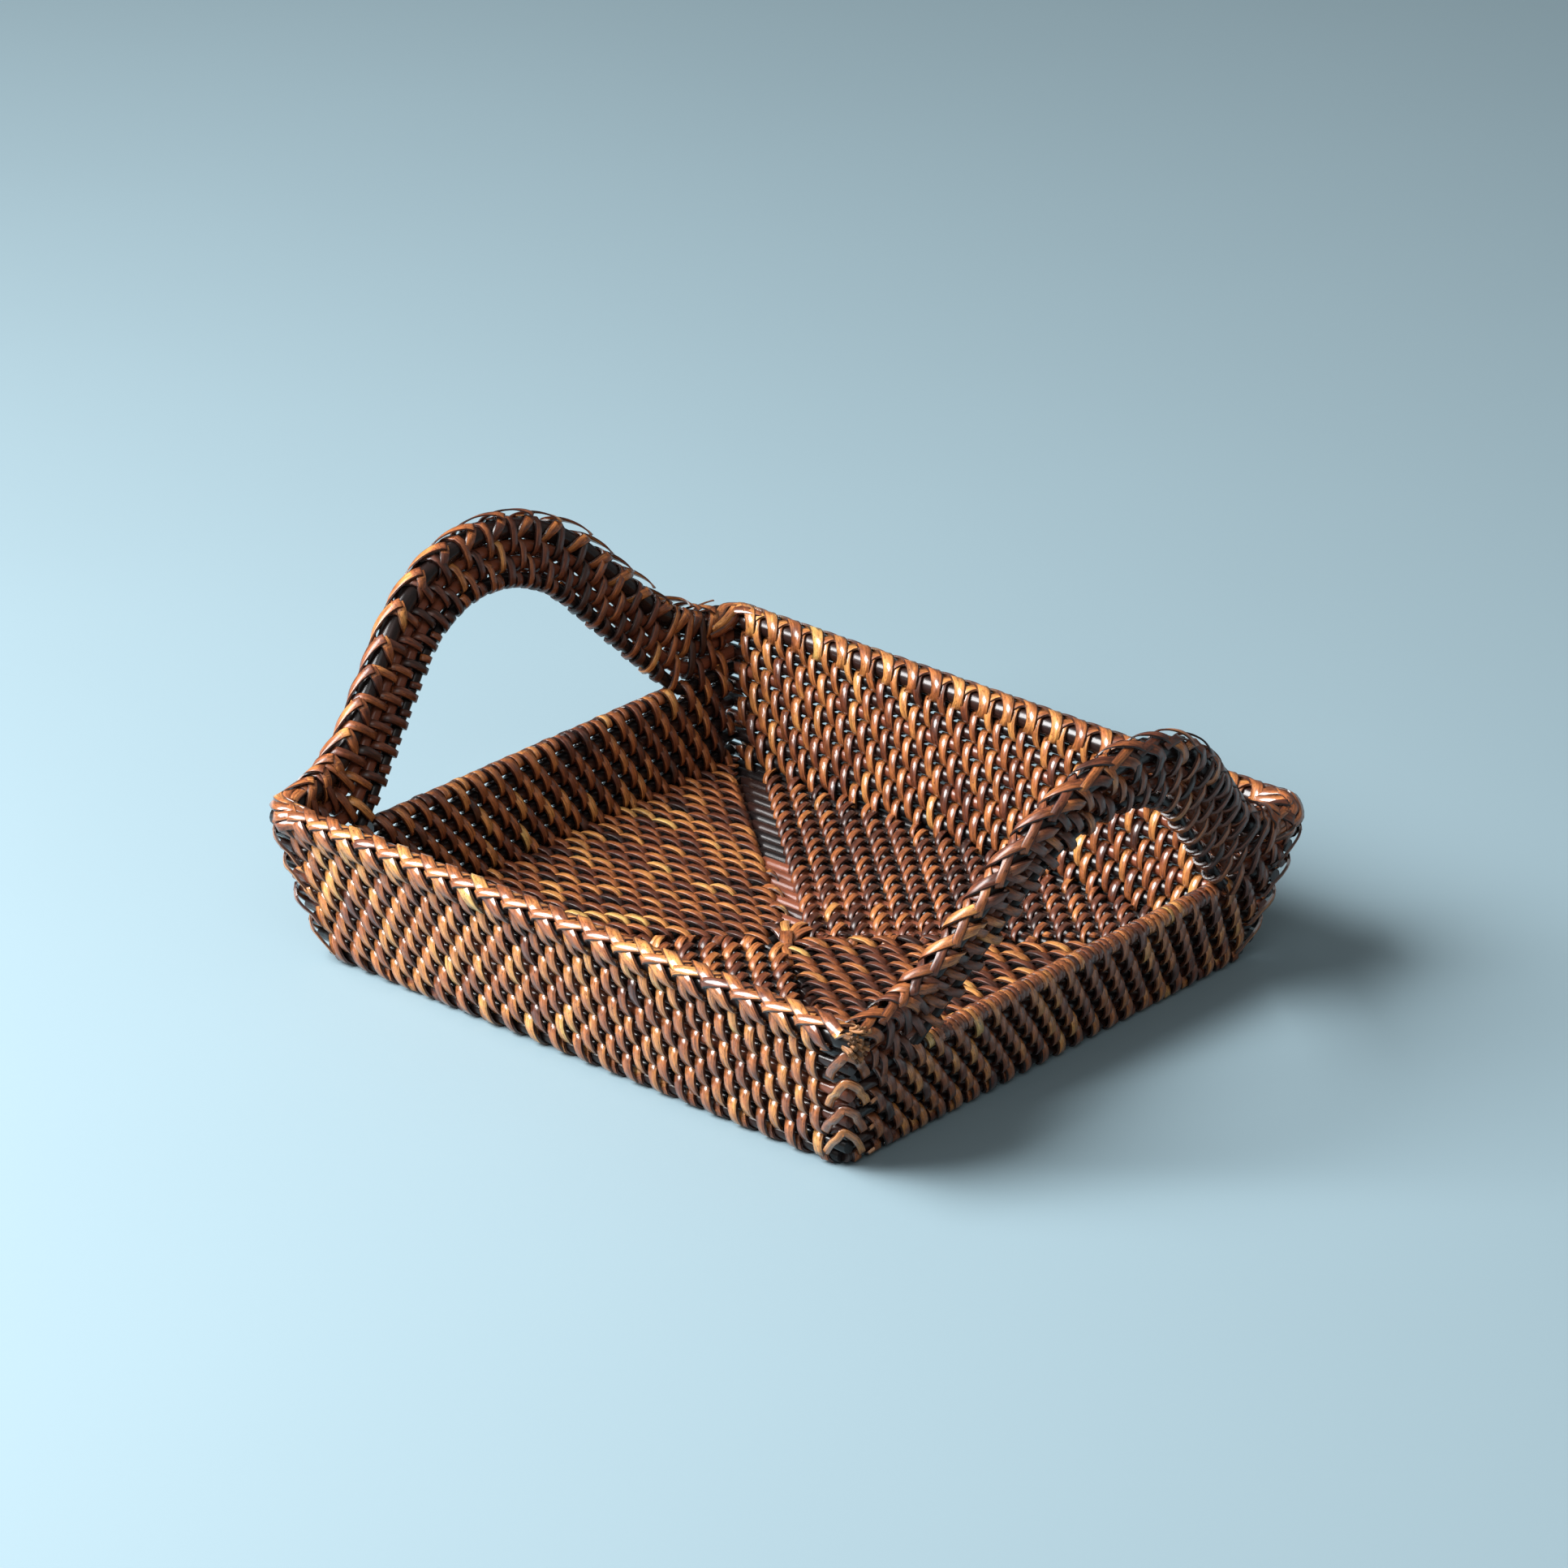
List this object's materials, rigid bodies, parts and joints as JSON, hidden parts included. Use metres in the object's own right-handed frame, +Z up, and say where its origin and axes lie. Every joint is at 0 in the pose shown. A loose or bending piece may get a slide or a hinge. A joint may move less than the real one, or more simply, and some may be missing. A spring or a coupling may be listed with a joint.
{
  "type": "woven tray",
  "caption": "Shallow rectangular woven rattan tray with flared sides, a plaited rim and a hoop handle at each end.",
  "frame": {"origin": "centre of the underside, on the surface that the tray stands on", "axes": "+X from the left handle to the right one, +Y from the front wall to the back one, +Z up"},
  "size_m": [0.2892, 0.2354, 0.1204],
  "materials": {
    "core_rod": "glossy dark lacquer",
    "peel_weave": "glossy brown lacquer",
    "plaited_border": "glossy brown lacquer",
    "corner_lacing": "glossy brown lacquer"
  },
  "bodies": {
    "root": {"front_rod_1": "core_rod", "front_rod_2": "core_rod", "front_rod_3": "core_rod", "front_rod_4": "core_rod", "front_rod_5": "core_rod", "front_rod_6": "core_rod", "front_rod_7": "core_rod", "front_rod_8": "core_rod", "back_rod_1": "core_rod", "back_rod_2": "core_rod", "back_rod_3": "core_rod", "back_rod_4": "core_rod", "back_rod_5": "core_rod", "back_rod_6": "core_rod", "back_rod_7": "core_rod", "back_rod_8": "core_rod", "left_rod_1": "core_rod", "left_rod_2": "core_rod", "left_rod_3": "core_rod", "left_rod_4": "core_rod", "left_rod_5": "core_rod", "right_rod_1": "core_rod", "right_rod_2": "core_rod", "right_rod_3": "core_rod", "right_rod_4": "core_rod", "right_rod_5": "core_rod", "left_hoop_rod_1": "core_rod", "left_hoop_rod_2": "core_rod", "left_hoop_rod_3": "core_rod", "right_hoop_rod_1": "core_rod", "right_hoop_rod_2": "core_rod", "right_hoop_rod_3": "core_rod", "front_rim_rod": "core_rod", "back_rim_rod": "core_rod", "left_rim_hoop": "core_rod", "right_rim_hoop": "core_rod", "left_rail": "core_rod", "right_rail": "core_rod", "front_base_rods": "core_rod", "back_base_rods": "core_rod", "left_base_rods": "core_rod", "right_base_rods": "core_rod", "front_weave": "peel_weave", "back_weave": "peel_weave", "left_weave": "peel_weave", "right_weave": "peel_weave", "left_handle_weave": "peel_weave", "right_handle_weave": "peel_weave", "base_weave": "peel_weave", "front_border": "plaited_border", "back_border": "plaited_border", "left_border": "plaited_border", "right_border": "plaited_border", "front_left_lacing": "corner_lacing", "front_right_lacing": "corner_lacing", "back_left_lacing": "corner_lacing", "back_right_lacing": "corner_lacing", "centre_tie": "corner_lacing"}
  },
  "joints": []
}
